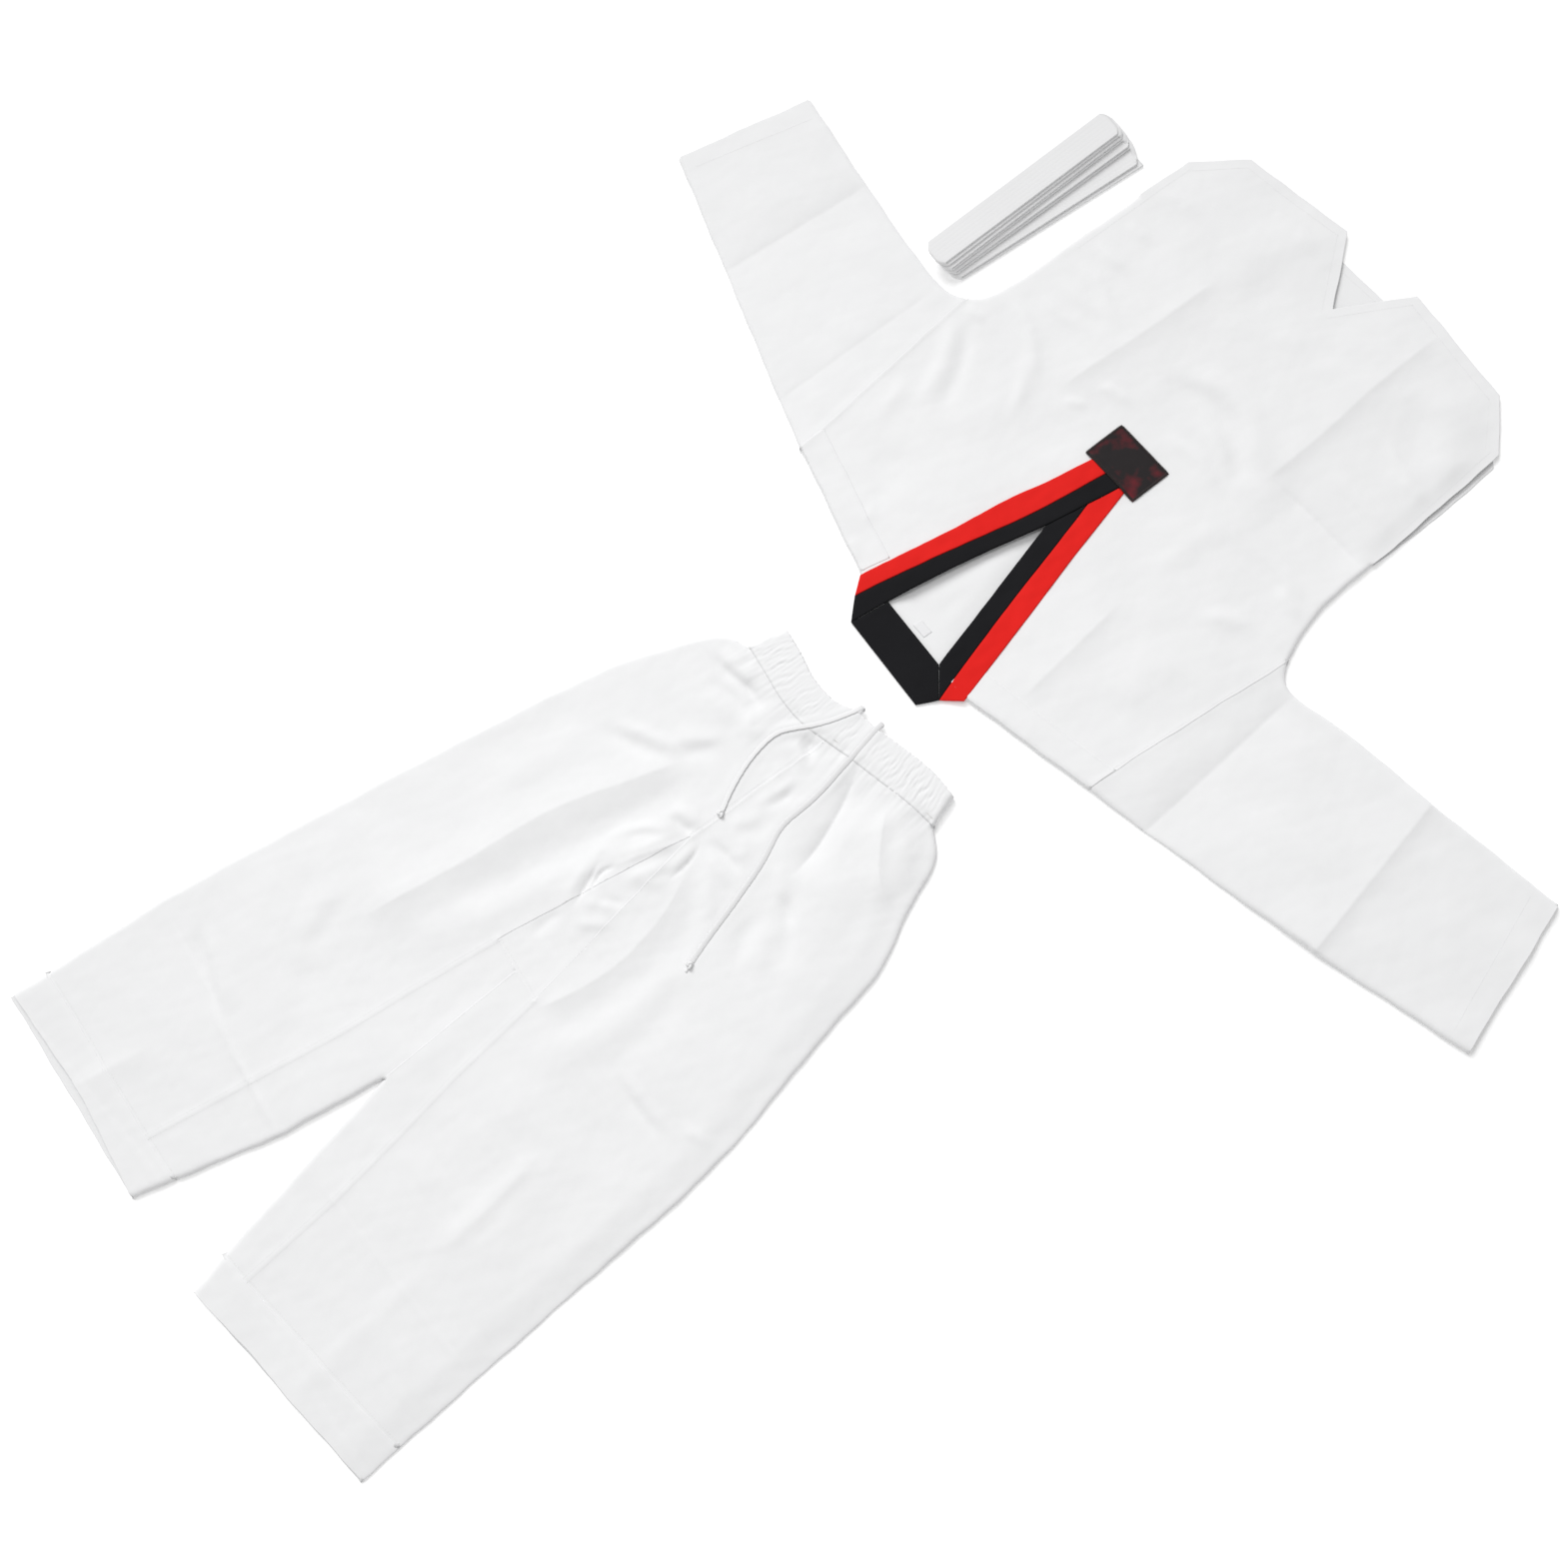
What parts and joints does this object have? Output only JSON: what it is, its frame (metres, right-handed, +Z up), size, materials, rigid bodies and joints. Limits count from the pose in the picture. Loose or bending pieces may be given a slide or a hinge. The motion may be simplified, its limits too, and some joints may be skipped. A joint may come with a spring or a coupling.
{
  "type": "martial arts uniform",
  "caption": "Martial arts uniform laid flat: white V-neck pullover jacket with red and black collar, white drawstring trousers and a folded white belt.",
  "frame": {"origin": "centre of the whole layout's rectangle, on the surface that it lies on", "axes": "+Y from the trouser cuffs towards the jacket hem, +X across the garments, +Z up"},
  "size_m": [1.4436, 1.8296, 0.0237],
  "materials": {
    "white_cloth": "matte plain-weave cotton blend",
    "collar_red": "matte twill",
    "collar_black": "matte twill",
    "patch_cloth": "woven badge with an overlocked border",
    "label_tape": "smooth satin tape",
    "elastic": "ribbed knitted elastic",
    "drawstring_cord": "braided cotton cord",
    "belt_webbing": "cotton belt with rows of stitching"
  },
  "bodies": {
    "jacket": {"front_panel_upper": "white_cloth", "back_panel_upper": "white_cloth", "back_neck_band": "collar_black", "left_collar_red": "collar_red", "left_collar_black": "collar_black", "right_collar_red": "collar_red", "right_collar_black": "collar_black", "chest_patch": "patch_cloth", "size_label": "label_tape", "left_yoke": "white_cloth", "right_yoke": "white_cloth", "left_side_seam": "white_cloth", "right_side_seam": "white_cloth", "left_sleeve_front": "white_cloth", "left_sleeve_back": "white_cloth", "left_underarm_seam": "white_cloth", "right_sleeve_front": "white_cloth", "right_sleeve_back": "white_cloth", "right_underarm_seam": "white_cloth"},
    "jacket_hem": {"front_panel_lower": "white_cloth", "back_panel_lower": "white_cloth", "left_vent_seam": "white_cloth", "right_vent_seam": "white_cloth"},
    "left_forearm": {"left_forearm_front": "white_cloth", "left_forearm_back": "white_cloth", "left_forearm_seam": "white_cloth"},
    "right_forearm": {"right_forearm_front": "white_cloth", "right_forearm_back": "white_cloth", "right_forearm_seam": "white_cloth"},
    "trousers": {"left_leg_front": "white_cloth", "left_leg_back": "white_cloth", "left_inner_panel": "white_cloth", "right_leg_front": "white_cloth", "right_leg_back": "white_cloth", "right_inner_panel": "white_cloth", "crotch_gusset": "white_cloth", "waistband_front": "white_cloth", "waistband_back": "white_cloth", "waist_elastic_front": "elastic", "waist_elastic_back": "elastic", "drawstring_left": "drawstring_cord", "drawstring_left_knot": "drawstring_cord", "drawstring_right": "drawstring_cord", "drawstring_right_knot": "drawstring_cord", "left_outer_seam": "white_cloth", "right_outer_seam": "white_cloth"},
    "left_shin": {"left_shin_front": "white_cloth", "left_shin_back": "white_cloth", "left_shin_seam": "white_cloth", "left_cuff_front": "white_cloth", "left_cuff_back": "white_cloth"},
    "right_shin": {"right_shin_front": "white_cloth", "right_shin_back": "white_cloth", "right_shin_seam": "white_cloth", "right_cuff_front": "white_cloth", "right_cuff_back": "white_cloth"},
    "belt": {"folded_belt": "belt_webbing"}
  },
  "joints": [
    {"name": "hem_fold", "type": "hinge", "parent": "jacket", "child": "jacket_hem", "pos_m": [-0.008, 0.644, 0.013], "axis": [1, 0, 0], "range_deg": [0, 180]},
    {"name": "left_sleeve_fold", "type": "hinge", "parent": "jacket", "child": "left_forearm", "pos_m": [-0.5375, 0.426, 0.0115], "axis": [0.1089, 0.9941, 0], "range_deg": [0, 180]},
    {"name": "right_sleeve_fold", "type": "hinge", "parent": "jacket", "child": "right_forearm", "pos_m": [0.5235, 0.402, 0.0115], "axis": [0.2224, -0.9749, 0], "range_deg": [0, 180]},
    {"name": "trousers_lift", "type": "slide", "parent": "jacket", "child": "trousers", "axis": [0, 0, 1], "range_m": [0, 0.3]},
    {"name": "left_leg_fold", "type": "hinge", "parent": "trousers", "child": "left_shin", "pos_m": [-0.1575, -0.711, 0.0115], "axis": [-0.9964, 0.0853, 0], "range_deg": [0, 180]},
    {"name": "right_leg_fold", "type": "hinge", "parent": "trousers", "child": "right_shin", "pos_m": [0.2025, -0.7, 0.0115], "axis": [-0.9946, -0.1037, 0], "range_deg": [0, 180]},
    {"name": "belt_lift", "type": "slide", "parent": "jacket", "child": "belt", "axis": [0, 0, 1], "range_m": [0, 0.3]}
  ]
}
